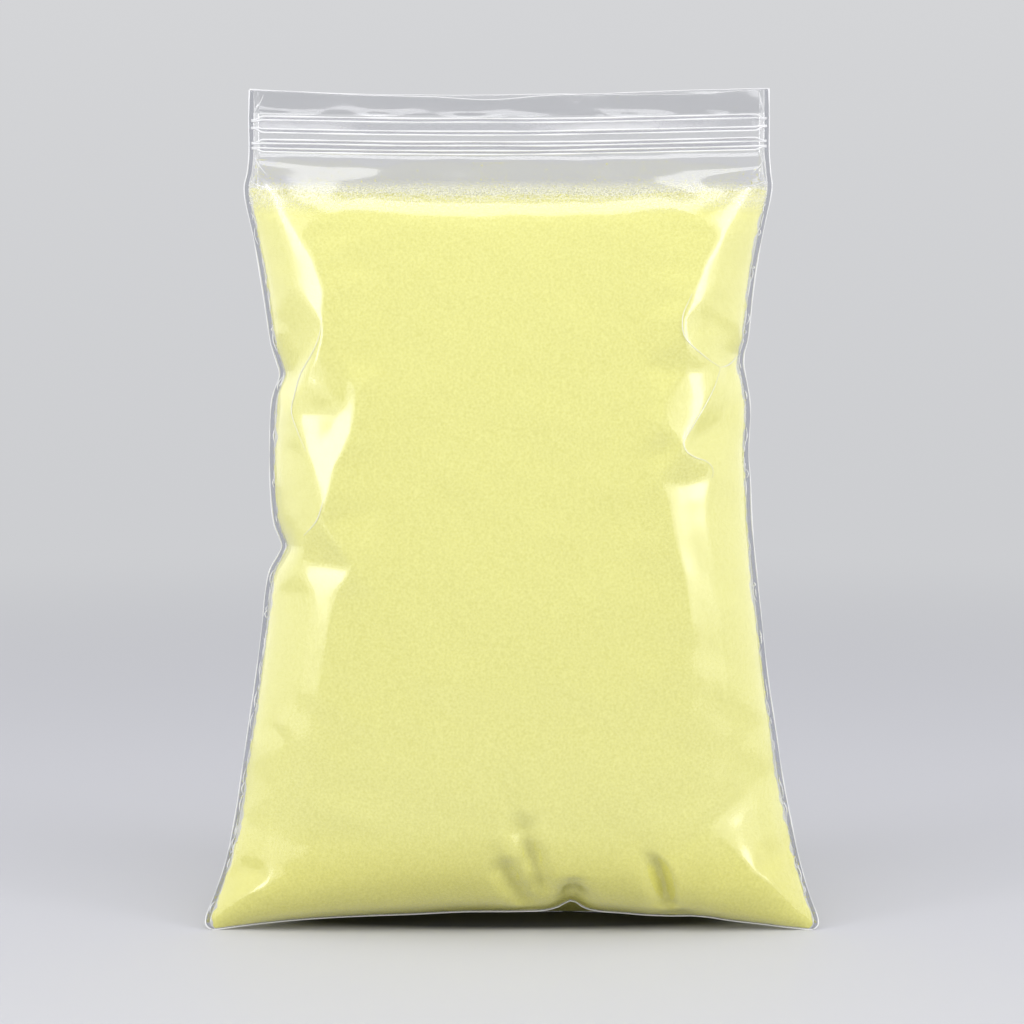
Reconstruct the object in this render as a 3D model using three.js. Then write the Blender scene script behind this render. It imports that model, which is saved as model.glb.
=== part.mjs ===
// A resealable clear film bag, zipped shut and filled with ground native sulfur, standing on its base.
// Millimetres, +Z up. The front faces -Y, and the origin is on the floor under the middle of the bag.
import * as THREE from "three";

// Driving dimensions.
const filmThickness = 0.3;
const gap = 0.4; // clearance between pieces that touch
const sealWidth = 2.4; // flat weld down each side
const archHeight = 5.3; // how far the middle of the bottom weld is off the floor
const zipSag = 0.9; // how far the middle of the zip hangs below its ends
const fillTop = 208; // height of the powder at the side welds
const zipEndGap = 2.6; // from the side weld to the end of a zip strip
const trackHeights = { lower: 220.6, upper: 226.5 }; // middle of each zip track, at its ends

// Outer edges of the film: [height, distance from the middle]. The sides pinch in at about 108 and 158.
const leftEdge = [
  [0, 85.4], [2.5, 86.5], [10, 84], [22, 80], [40, 76.8], [68, 72.6], [94, 69.5], [101, 68.2],
  [108, 65.2], [115, 66.7], [126, 67.7], [149, 67.6], [157.5, 65.8], [165, 67.3], [188, 71.1],
  [208, 74.4], [218, 73.3], [236, 73.1],
];
const rightEdge = [
  [0, 85.6], [2.5, 86.5], [12, 84.1], [24, 81.2], [40, 78], [71, 73.1], [99, 69.9], [126, 67.8],
  [134, 67.2], [147, 67.7], [153, 66.2], [159.5, 64.4], [165.5, 66.5], [178, 68.2], [197, 71.2],
  [208, 73.7], [218, 73], [236, 72.8],
];

// Where the plane of the side welds stands, front to back: [height, y]. The corners come forward.
const weldPlane = [[0, -10], [12, -7], [30, -4.5], [110, -3], [208, -0.5], [236, 1]];

// Each panel from the bottom weld to the lip: [height at the weld, height in the middle, depth in the middle].
// A height in the middle below zero is pressed flat on the floor.
const sharedRows = [
  [40, 42, 22.2, 28.6], [56, 57, 22.4, 29.4], [74, 74.6, 22.2, 29.6], [92, 92.4, 21.6, 28.8], [108, 108.2, 20.8, 27.4],
  [116, 116, 20.4, 26.6], [132, 131.8, 19.6, 25], [150, 149.5, 18.6, 22.8], [158, 157.5, 18.1, 21.8],
  [166, 165.4, 17.6, 20.6], [180, 179, 16.6, 18.8], [192, 191, 15.5, 17], [200, 198.6, 14.4, 15.4],
  [204.5, 202.8, 12.9, 13.6], [fillTop, 206.2, 10.4, 10.8], [211.5, 210, 6.6, 6.8], [215, 213.8, 3.2, 3.2],
  [217.4, 217.4 - zipSag, 1.8, 1.8], [229, 229 - zipSag, 1.8, 1.8], [232, 231.4, 1.4, 1.4], [236, 235.4, 1.1, 1.1],
];
const frontRows = [
  [0, archHeight, 0.5], [1, 7.4, 4.4], [2.5, 10, 8.6], [5, 13.8, 12.6], [9, 18.8, 16.2], [16, 25.4, 19], [27, 33.2, 21],
  ...sharedRows.map(([edge, middle, front]) => [edge, middle, front]),
];
const backRows = [
  [0, archHeight, 0.5], [1, 3.9, 4.6], [2.2, 1.9, 9], [3.6, -3, 14], [6, -6, 20.6], [10, 4, 26.4], [22, 20, 28.6],
  ...sharedRows.map(([edge, middle, , back]) => [edge, middle, back]),
];
const firstFillRow = 1;
const lastFillRow = frontRows.findIndex(([edge]) => edge === fillTop);
const firstZipRow = frontRows.findIndex(([edge]) => edge > 217);

// Columns across half a panel, from the middle (0) to the inside of the weld (1).
const halfColumns = [0, 0.16, 0.32, 0.47, 0.6, 0.71, 0.8, 0.87, 0.925, 0.965, 0.988, 1];
const columns = [...halfColumns.slice(1).reverse().map((q) => -q), ...halfColumns];
const sealHalfDepth = filmThickness + gap / 2;
const powderInset = filmThickness + gap + 0.02; // from a panel's outside to the powder

// Smooth curve through [height, value] pairs.
function curveThrough(points) {
  const curve = new THREE.CatmullRomCurve3(
    points.map(([height, value]) => new THREE.Vector3(height, value, 0)), false, "centripetal",
  );
  const samples = curve.getPoints(points.length * 12);
  return (height) => {
    const next = samples.findIndex((p) => p.x >= height);
    if (next <= 0) return samples[next < 0 ? samples.length - 1 : 0].y;
    const [below, above] = [samples[next - 1], samples[next]];
    return THREE.MathUtils.mapLinear(height, below.x, above.x, below.y, above.y);
  };
}
const leftAt = curveThrough(leftEdge);
const rightAt = curveThrough(rightEdge);
const weldPlaneAt = curveThrough(weldPlane);

// How full the section is at column q: 1 in the middle, 0 at the weld. Zip rows stay parallel nearly to the weld.
function fullness(q, row) {
  const across = Math.abs(q);
  if (row >= firstZipRow) return Math.min(1, (1 - across) / 0.02);
  return (1 - across ** 2.5) ** (1 / 1.45);
}

// The outside of one panel as rows of points. direction is -1 for the front and 1 for the back.
function panelOutside(rows, direction) {
  return rows.map(([edgeHeight, middleHeight, depth], row) => {
    const left = -leftAt(edgeHeight);
    const right = rightAt(edgeHeight);
    const middle = (left + right) / 2;
    const halfWidth = (right - left) / 2;
    const plane = weldPlaneAt(edgeHeight);
    const point = (q) => {
      const x = middle + q * (halfWidth - sealWidth);
      const y = plane + direction * (sealHalfDepth + (depth - sealHalfDepth) * fullness(q, row));
      const z = edgeHeight + (middleHeight - edgeHeight) * (1 - Math.abs(q) ** 1.9);
      return new THREE.Vector3(x, y, Math.max(0, z));
    };
    const weldEdge = (x) => new THREE.Vector3(x, plane + direction * sealHalfDepth, edgeHeight);
    return [weldEdge(left), ...columns.map(point), weldEdge(right)];
  });
}

// The same rows of points, moved inwards so that every facet ends up the given distance from where it was.
function offsetInwards(grid, direction, distance) {
  const facet = (r, c) => {
    const across = new THREE.Vector3().subVectors(grid[r][c + 1], grid[r][c]);
    const up = new THREE.Vector3().subVectors(grid[r + 1][c], grid[r][c]);
    const farAcross = new THREE.Vector3().subVectors(grid[r + 1][c + 1], grid[r + 1][c]);
    return across.add(farAcross).cross(up).multiplyScalar(direction).normalize();
  };
  const facets = grid.slice(1).map((row, r) => row.slice(1).map((_, c) => facet(r, c)));
  return grid.map((row, r) =>
    row.map((p, c) => {
      const around = [facets[r - 1], facets[r]].flatMap((line) => (line ? [line[c - 1], line[c]] : []));
      const near = around.filter(Boolean);
      const inwards = near.reduce((sum, n) => sum.add(n), new THREE.Vector3()).normalize();
      const tightest = Math.min(...near.map((n) => n.dot(inwards)));
      const moved = p.clone().addScaledVector(inwards, distance / Math.max(0.6, tightest));
      return moved.setZ(Math.max(0, moved.z));
    }),
  );
}

// A closed solid between two grids of the same size. The first faces -Y and the second +Y.
function solidBetween(frontGrid, backGrid) {
  const lastRow = frontGrid.length - 1;
  const lastColumn = frontGrid[0].length - 1;
  const size = (lastRow + 1) * (lastColumn + 1);
  const positions = [...frontGrid.flat(), ...backGrid.flat()].flatMap((p) => [p.x, p.y, p.z]);
  const front = (r, c) => r * (lastColumn + 1) + c;
  const back = (r, c) => size + front(r, c);
  const index = [];
  const quad = (a, b, c, d) => index.push(a, b, c, a, c, d);
  for (let r = 0; r < lastRow; r++) {
    for (let c = 0; c < lastColumn; c++) {
      quad(front(r, c), front(r, c + 1), front(r + 1, c + 1), front(r + 1, c));
      quad(back(r, c), back(r + 1, c), back(r + 1, c + 1), back(r, c + 1));
    }
    quad(front(r, 0), front(r + 1, 0), back(r + 1, 0), back(r, 0));
    quad(front(r + 1, lastColumn), front(r, lastColumn), back(r, lastColumn), back(r + 1, lastColumn));
  }
  for (let c = 0; c < lastColumn; c++) {
    quad(front(0, c + 1), front(0, c), back(0, c), back(0, c + 1));
    quad(front(lastRow, c), front(lastRow, c + 1), back(lastRow, c + 1), back(lastRow, c));
  }
  const geometry = new THREE.BufferGeometry();
  geometry.setAttribute("position", new THREE.Float32BufferAttribute(positions, 3));
  geometry.setIndex(index);
  geometry.computeVertexNormals();
  return geometry;
}

// One zip strip: its outline, given as [y, height] points anticlockwise seen from +X, swept along the sagging zip.
function zipStrip(outline, height) {
  const stations = 13;
  const left = -leftAt(height) + sealWidth + zipEndGap;
  const right = rightAt(height) - sealWidth - zipEndGap;
  const positions = [];
  for (let i = 0; i < stations; i++) {
    const along = (2 * i) / (stations - 1) - 1;
    const x = THREE.MathUtils.mapLinear(along, -1, 1, left, right);
    const sag = zipSag * (1 - along ** 2);
    for (const [y, z] of outline) positions.push(x, y + weldPlaneAt(height), z + height - sag);
  }
  const corners = outline.length;
  const index = [];
  for (let i = 0; i < stations - 1; i++) {
    for (let k = 0; k < corners; k++) {
      const a = i * corners + k;
      const b = i * corners + ((k + 1) % corners);
      index.push(a, b, b + corners, a, b + corners, a + corners);
    }
  }
  const cap = THREE.ShapeUtils.triangulateShape(outline.map(([y, z]) => new THREE.Vector2(y, z)), []);
  const lastRing = (stations - 1) * corners;
  for (const [a, b, c] of cap) {
    index.push(a, c, b);
    index.push(lastRing + a, lastRing + b, lastRing + c);
  }
  const geometry = new THREE.BufferGeometry();
  geometry.setAttribute("position", new THREE.Float32BufferAttribute(positions, 3));
  geometry.setIndex(index);
  geometry.computeVertexNormals();
  return geometry;
}

// Section of a closed press-to-close track: a mushroom rib on the front strip, hooked into a channel on the back one.
const track = {
  halfHeight: 1.6, strip: 0.4, half: 1.2, stem: 0.3, head: 0.9, headFront: 0.1, headBack: 0.5,
  arm: 1.2, hook: 0.6, hookFront: -0.5, hookBack: -0.2,
};
const ribOutline = [
  [-track.half, -track.halfHeight],
  [-track.half + track.strip, -track.halfHeight],
  [-track.half + track.strip, -track.stem],
  [track.headFront, -track.stem],
  [track.headFront, -track.head],
  [track.headBack, -track.head + 0.3],
  [track.headBack, track.head - 0.3],
  [track.headFront, track.head],
  [track.headFront, track.stem],
  [-track.half + track.strip, track.stem],
  [-track.half + track.strip, track.halfHeight],
  [-track.half, track.halfHeight],
];
const channelOutline = [
  [track.half, -track.halfHeight],
  [track.half, track.halfHeight],
  [track.hookFront, track.halfHeight],
  [track.hookFront, track.hook],
  [track.hookBack, track.hook],
  [track.hookBack, track.arm],
  [track.half - track.strip, track.arm],
  [track.half - track.strip, -track.arm],
  [track.hookBack, -track.arm],
  [track.hookBack, -track.hook],
  [track.hookFront, -track.hook],
  [track.hookFront, -track.halfHeight],
];

const clearFilm = new THREE.MeshStandardMaterial({
  color: 0xe9ebee, roughness: 0.12, metalness: 0, transparent: true, opacity: 0.3,
});
const clearZip = new THREE.MeshStandardMaterial({
  color: 0xf2f4f6, roughness: 0.2, metalness: 0, transparent: true, opacity: 0.5,
});
const groundSulfur = new THREE.MeshStandardMaterial({ color: 0xefed98, roughness: 0.95, metalness: 0 });

function piece(name, geometry, material) {
  const mesh = new THREE.Mesh(geometry, material);
  mesh.name = name;
  return mesh;
}

const frontOutside = panelOutside(frontRows, -1);
const backOutside = panelOutside(backRows, 1);
const powderPart = (grid) => grid.slice(firstFillRow, lastFillRow + 1).map((row) => row.slice(2, -2));

const bag = new THREE.Group();
bag.add(
  piece("front_panel", solidBetween(frontOutside, offsetInwards(frontOutside, -1, filmThickness)), clearFilm),
  piece("back_panel", solidBetween(offsetInwards(backOutside, 1, filmThickness), backOutside), clearFilm),
  piece(
    "sulfur_powder",
    solidBetween(
      powderPart(offsetInwards(frontOutside, -1, powderInset)),
      powderPart(offsetInwards(backOutside, 1, powderInset)),
    ),
    groundSulfur,
  ),
);
for (const [name, height] of Object.entries(trackHeights)) {
  bag.add(piece(`${name}_zip_rib`, zipStrip(ribOutline, height), clearZip));
  bag.add(piece(`${name}_zip_channel`, zipStrip(channelOutline, height), clearZip));
}

export default bag;
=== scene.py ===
import math
import bpy
import numpy as np
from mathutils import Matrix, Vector
from mathutils.geometry import delaunay_2d_cdt


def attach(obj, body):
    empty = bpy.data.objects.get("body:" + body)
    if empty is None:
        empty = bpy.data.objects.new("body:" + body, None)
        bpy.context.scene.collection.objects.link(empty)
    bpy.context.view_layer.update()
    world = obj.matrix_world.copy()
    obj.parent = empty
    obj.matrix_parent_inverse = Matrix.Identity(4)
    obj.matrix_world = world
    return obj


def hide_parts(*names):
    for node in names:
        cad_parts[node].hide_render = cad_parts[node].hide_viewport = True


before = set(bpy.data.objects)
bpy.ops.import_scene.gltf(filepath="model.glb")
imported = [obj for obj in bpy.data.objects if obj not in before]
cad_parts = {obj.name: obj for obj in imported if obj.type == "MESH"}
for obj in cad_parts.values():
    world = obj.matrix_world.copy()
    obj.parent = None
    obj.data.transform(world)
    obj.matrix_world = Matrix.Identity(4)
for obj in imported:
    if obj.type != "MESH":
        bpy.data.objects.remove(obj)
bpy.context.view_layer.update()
scene = bpy.context.scene
mm = 0.001  # the shape tables are in mm, Blender is in metres
print("frame loaded:", ", ".join(sorted(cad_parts)))


# curves, grids and noise

def curveThrough(points, count):
    # evenly spaced points on a smooth curve through the given ones
    points = np.array(points, float)
    steps = np.linalg.norm(np.diff(points, axis=0), axis=1) ** 0.5
    at = np.r_[0, np.cumsum(steps)]
    slopes = np.gradient(points, at, axis=0)
    t = np.linspace(0, at[-1], count * 8)
    i = np.clip(np.searchsorted(at, t, "right") - 1, 0, len(at) - 2)
    h = (at[i + 1] - at[i])[:, None]
    s = (t - at[i])[:, None] / h
    dense = (points[i] * (1 + 2 * s) * (1 - s) ** 2 + slopes[i] * h * s * (1 - s) ** 2
             + points[i + 1] * s * s * (3 - 2 * s) + slopes[i + 1] * h * s * s * (s - 1))
    run = np.r_[0, np.cumsum(np.linalg.norm(np.diff(dense, axis=0), axis=1))]
    even = np.linspace(0, run[-1], count)
    return np.stack([np.interp(even, run, dense[:, k]) for k in range(points.shape[1])], 1)


def lookUp(points, column=1):
    # value at any height or distance, from [height, value] pairs
    curve = curveThrough([[p[0], p[column]] for p in points], 900)
    order = np.argsort(curve[:, 0], kind="stable")
    return lambda at: np.interp(at, curve[order, 0], curve[order, 1])


def smoothStep(low, high, value):
    t = np.clip((value - low) / (high - low), 0, 1)
    return t * t * (3 - 2 * t)


def blur(field, size):
    # soft average along both directions of a grid, size in cells
    reach = int(np.ceil(size * 3))
    weights = np.exp(-0.5 * (np.arange(-reach, reach + 1) / size) ** 2)
    weights /= weights.sum()
    for axis in (0, 1):
        pads = [(reach, reach) if a == axis else (0, 0) for a in (0, 1)]
        wide = np.pad(field, pads, mode="edge")
        field = sum(w * np.take(wide, np.arange(k, k + field.shape[axis]), axis)
                    for k, w in enumerate(weights))
    return field


def ripples(x, z, seed, wave, waves=24, stretch=1.0):
    # smooth random waves about one unit high; wave is their usual length in mm
    draw = np.random.default_rng(seed)
    total = np.zeros_like(x * 1.0)
    for _ in range(waves):
        angle, phase = draw.uniform(0, 2 * math.pi, 2)
        length = wave * draw.uniform(0.6, 1.7)
        run = x * math.cos(angle) * stretch + z * math.sin(angle)
        total += np.sin(2 * math.pi * run / length + phase)
    return total / math.sqrt(waves / 2)


def gridFaces(rows, columns, start=0, flip=False):
    r, c = np.meshgrid(np.arange(rows - 1), np.arange(columns - 1), indexing="ij")
    a = start + r * columns + c
    quads = np.stack([a, a + 1, a + columns + 1, a + columns], -1).reshape(-1, 4)
    return (quads[:, ::-1] if flip else quads).tolist()


def meshPiece(name, points, faces, material, smooth=True):
    mesh = bpy.data.meshes.new(name)
    mesh.from_pydata((np.asarray(points, float) * mm).tolist(), [], faces)
    mesh.validate()
    mesh.polygons.foreach_set("use_smooth", [smooth] * len(mesh.polygons))
    piece = bpy.data.objects.new(name, mesh)
    scene.collection.objects.link(piece)
    mesh.materials.append(material)
    return piece


def closedRings(rings):
    # joins rings of points into a tube with both ends filled
    count, sides = rings.shape[:2]
    faces = []
    for k in range(count - 1):
        for j in range(sides):
            a, b = k * sides + j, k * sides + (j + 1) % sides
            faces.append([a, b, b + sides, a + sides])
    faces.append(list(range(sides))[::-1])
    faces.append([(count - 1) * sides + j for j in range(sides)])
    return rings.reshape(-1, 3), faces


def tubeAlong(path, radius, sides=8):
    # points and faces of a closed round tube along a path; radius may change along it
    path = np.asarray(path, float)
    radius = np.broadcast_to(radius, len(path))
    ahead = np.gradient(path, axis=0)
    ahead /= np.linalg.norm(ahead, axis=1)[:, None]
    side = np.cross(ahead, np.array([0, 1.0, 0]))
    side /= np.linalg.norm(side, axis=1)[:, None]
    up = np.cross(side, ahead)
    angle = np.arange(sides) * 2 * math.pi / sides
    around = np.cos(angle)[None, :, None] * side[:, None] + np.sin(angle)[None, :, None] * up[:, None]
    return closedRings(path[:, None] + radius[:, None, None] * around)


def addTube(points, faces, path, radius, sides):
    # one more tube for a piece that is made of many
    tube, tubeFaces = tubeAlong(path, radius, sides)
    faces += [[k + len(points) for k in face] for face in tubeFaces]
    points += tube.tolist()


# the bag: its outline, and how deep each panel bulges from the plane of the side welds

bagShape = {
    "sealWidth": 1.3,
    "weldDepth": 0.06,  # from the plane of the side welds to each sheet, where they are welded
    "filmThickness": 0.08,
    "fillTop": 208.0, "zipBottom": 217, "zipTop": 229, "lipTop": 236.0,
    "pillowPowers": (2.5, 1.45), "risePower": 1.9,  # how full the sheets are near the side welds
    "pinchPower": 9,  # how quickly a pinch in the outline fades inwards
    # each side edge, as [height, distance from the middle]
    "leftEdge": [
        [0, 84.9], [1.2, 86.3], [3, 86.5], [10, 84], [18.3, 81.2], [31.8, 78.4], [42.8, 76.7], [55, 74.9],
        [68.7, 72.8], [87.3, 70.4], [94.6, 69.7], [101.4, 68.3], [105.5, 66], [108, 64.9], [110.8, 65.7],
        [114.1, 67], [125, 68.1], [137.7, 68.2], [149, 67.6], [152.6, 66.6], [156.3, 65.3], [160, 66.2],
        [164.8, 67.7], [178, 69.7], [193.2, 72.2], [208.2, 75.1], [213, 74.2], [218.3, 73.7], [228, 73.8],
        [236, 73.6]],
    "rightEdge": [
        [0, 85.1], [1.2, 86.3], [3, 86.4], [10, 84], [19.2, 81.4], [32, 78.7], [42.3, 76.7], [53.8, 75],
        [71.5, 72.3], [87.3, 70.5], [99, 69.2], [114, 67.7], [127, 67.1], [133.8, 66.6], [146, 67.1],
        [150, 66.8], [154.9, 65.9], [159.4, 65.1], [162.5, 65.3], [165.6, 66.2], [171.5, 66.9], [178.6, 67.6],
        [187, 68.7], [197, 70.6], [208.7, 72.9], [213, 72.5], [218.6, 72.1], [228, 72.1], [236.3, 72]],
    # the same outline without the pinches, which only reach a little way in
    "leftLine": [
        [0, 86.4], [10, 84], [31.8, 78.4], [55, 74.9], [80, 71.2], [105, 68.9], [130, 68], [150, 67.9],
        [178, 69.7], [208, 75.1], [218, 73.7], [236, 73.6]],
    "rightLine": [
        [0, 86.4], [10, 84], [32, 78.7], [53.8, 75], [87.3, 70.5], [114, 67.7], [140, 66.9], [165, 66.6],
        [187, 68.7], [208.7, 72.9], [218.6, 72.1], [236, 72]],
    # how far the side welds stand back or forward, as [height, distance]
    "weldPlane": [[0, -10], [12, -7], [30, -4.5], [110, -3], [208, -0.5], [236, 1]],
    # each sheet, as [height at the weld, height in the middle, depth in the middle]
    "front": [
        [0, 5.3, 0.1], [1, 7.4, 4.4], [2.5, 10, 8.6], [5, 13.8, 12.6], [9, 18.8, 16.2], [16, 25.4, 19],
        [27, 33.2, 21], [40, 42, 22.2], [56, 57, 22.4], [74, 74.6, 22.2], [92, 92.4, 21.6],
        [108, 108.2, 20.8], [132, 131.8, 19.6], [150, 149.5, 18.6], [166, 165.4, 17.6], [180, 179, 16.6],
        [192, 191, 15.5], [200, 198.6, 14.4], [204.5, 202.8, 13], [208, 206.2, 10.7], [211.5, 210, 7.4],
        [215.4, 214.3, 4], [217.7, 216.9, 1.9], [229, 228.1, 1.8], [232, 231.4, 1.3], [236, 235.4, 0.9]],
    "back": [
        [0, 5.3, 0.1], [1, 5.6, 5], [2.2, 6.2, 11], [3.6, 6, 17], [5, 2, 21.5], [6.5, -5, 24.5],
        [10, 4, 26.4], [22, 20, 28.6], [40, 42, 28.6], [56, 57, 29.4], [74, 74.6, 29.6], [92, 92.4, 28.8],
        [108, 108.2, 27.4], [132, 131.8, 25], [150, 149.5, 22.8], [166, 165.4, 20.6], [180, 179, 18.8],
        [192, 191, 17], [200, 198.6, 15.4], [204.5, 202.8, 13.6], [208, 206.2, 10.8], [211.5, 210, 6.8],
        [215, 213.8, 3.2], [217.4, 216.5, 1.8], [229, 228.1, 1.8], [232, 231.4, 1.3], [236, 235.4, 0.9]],
    # how much the lip's top edge rises or dips, by distance across
    "frontLip": [
        [-74, 0], [-58, -0.5], [-42, -1.1], [-22, -1.5], [-6, -2.2], [8, -1.2], [24, -0.6], [45, 0],
        [73, 0.4]],
    "backLip": [[-74, 0.2], [-50, -0.6], [-20, -0.9], [15, -0.5], [45, -0.9], [73, 0.3]],
    # the little peak where the bottom weld is pinched, by distance across
    "basePeak": [
        [-90, 0], [-60, 0.3], [-28, -0.2], [-14, 0], [4, 0], [9, 0.3], [13, 1.4], [16.8, 3.3], [20.5, 1.3],
        [24, 0.6], [31, 0.3], [38, 0.1], [44, 0.2], [54, 0.8], [62, 0.2], [90, 0]],
}
leftAt, rightAt, leftLineAt, rightLineAt, planeAt, basePeakAt = (
    lookUp(bagShape[curve])
    for curve in ("leftEdge", "rightEdge", "leftLine", "rightLine", "weldPlane", "basePeak"))
shapeAt = {side: (lookUp(bagShape[side], 1), lookUp(bagShape[side], 2), lookUp(bagShape[side + "Lip"]))
           for side in ("front", "back")}


def fullness(across, zipShare):
    # the bulge from weld to weld: a pillow below, flat where the zip holds the panels
    spread, swell = bagShape["pillowPowers"]
    pillow = (1 - across ** spread) ** (1 / swell)
    return pillow * (1 - zipShare) + smoothStep(0, 0.022, 1 - across) * zipShare


def panelBase(side, edge, q):
    # across, height and depth of the smooth panel. q is 1 at the inside of the weld, 2 at its outside
    middleAt, depthAt, lipAt = shapeAt[side]
    sealWidth, weldDepth = bagShape["sealWidth"], bagShape["weldDepth"]
    fillTop, zipBottom, zipTop, lipTop = (bagShape[k] for k in ("fillTop", "zipBottom", "zipTop", "lipTop"))
    edge, q = np.broadcast_arrays(edge, q)
    left, right = -leftLineAt(edge), rightLineAt(edge)
    centre, half = (left + right) / 2, (right - left) / 2
    across = np.minimum(np.abs(q), 1)
    beyond = np.clip(np.abs(q) - 1, 0, 1)
    pinch = np.where(q < 0, -leftAt(edge) - left, rightAt(edge) - right) * across ** bagShape["pinchPower"]
    x = centre + np.sign(q) * (across * (half - sealWidth) + beyond * sealWidth) + pinch
    depth = weldDepth + (depthAt(edge) - weldDepth) * fullness(across, smoothStep(fillTop, zipBottom, edge))
    z = edge + (middleAt(edge) - edge) * (1 - across ** bagShape["risePower"])
    z = z + lipAt(x) * smoothStep(zipTop, lipTop, edge) + basePeakAt(x) * (1 - smoothStep(0, 9, edge))
    return x, z, depth


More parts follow.
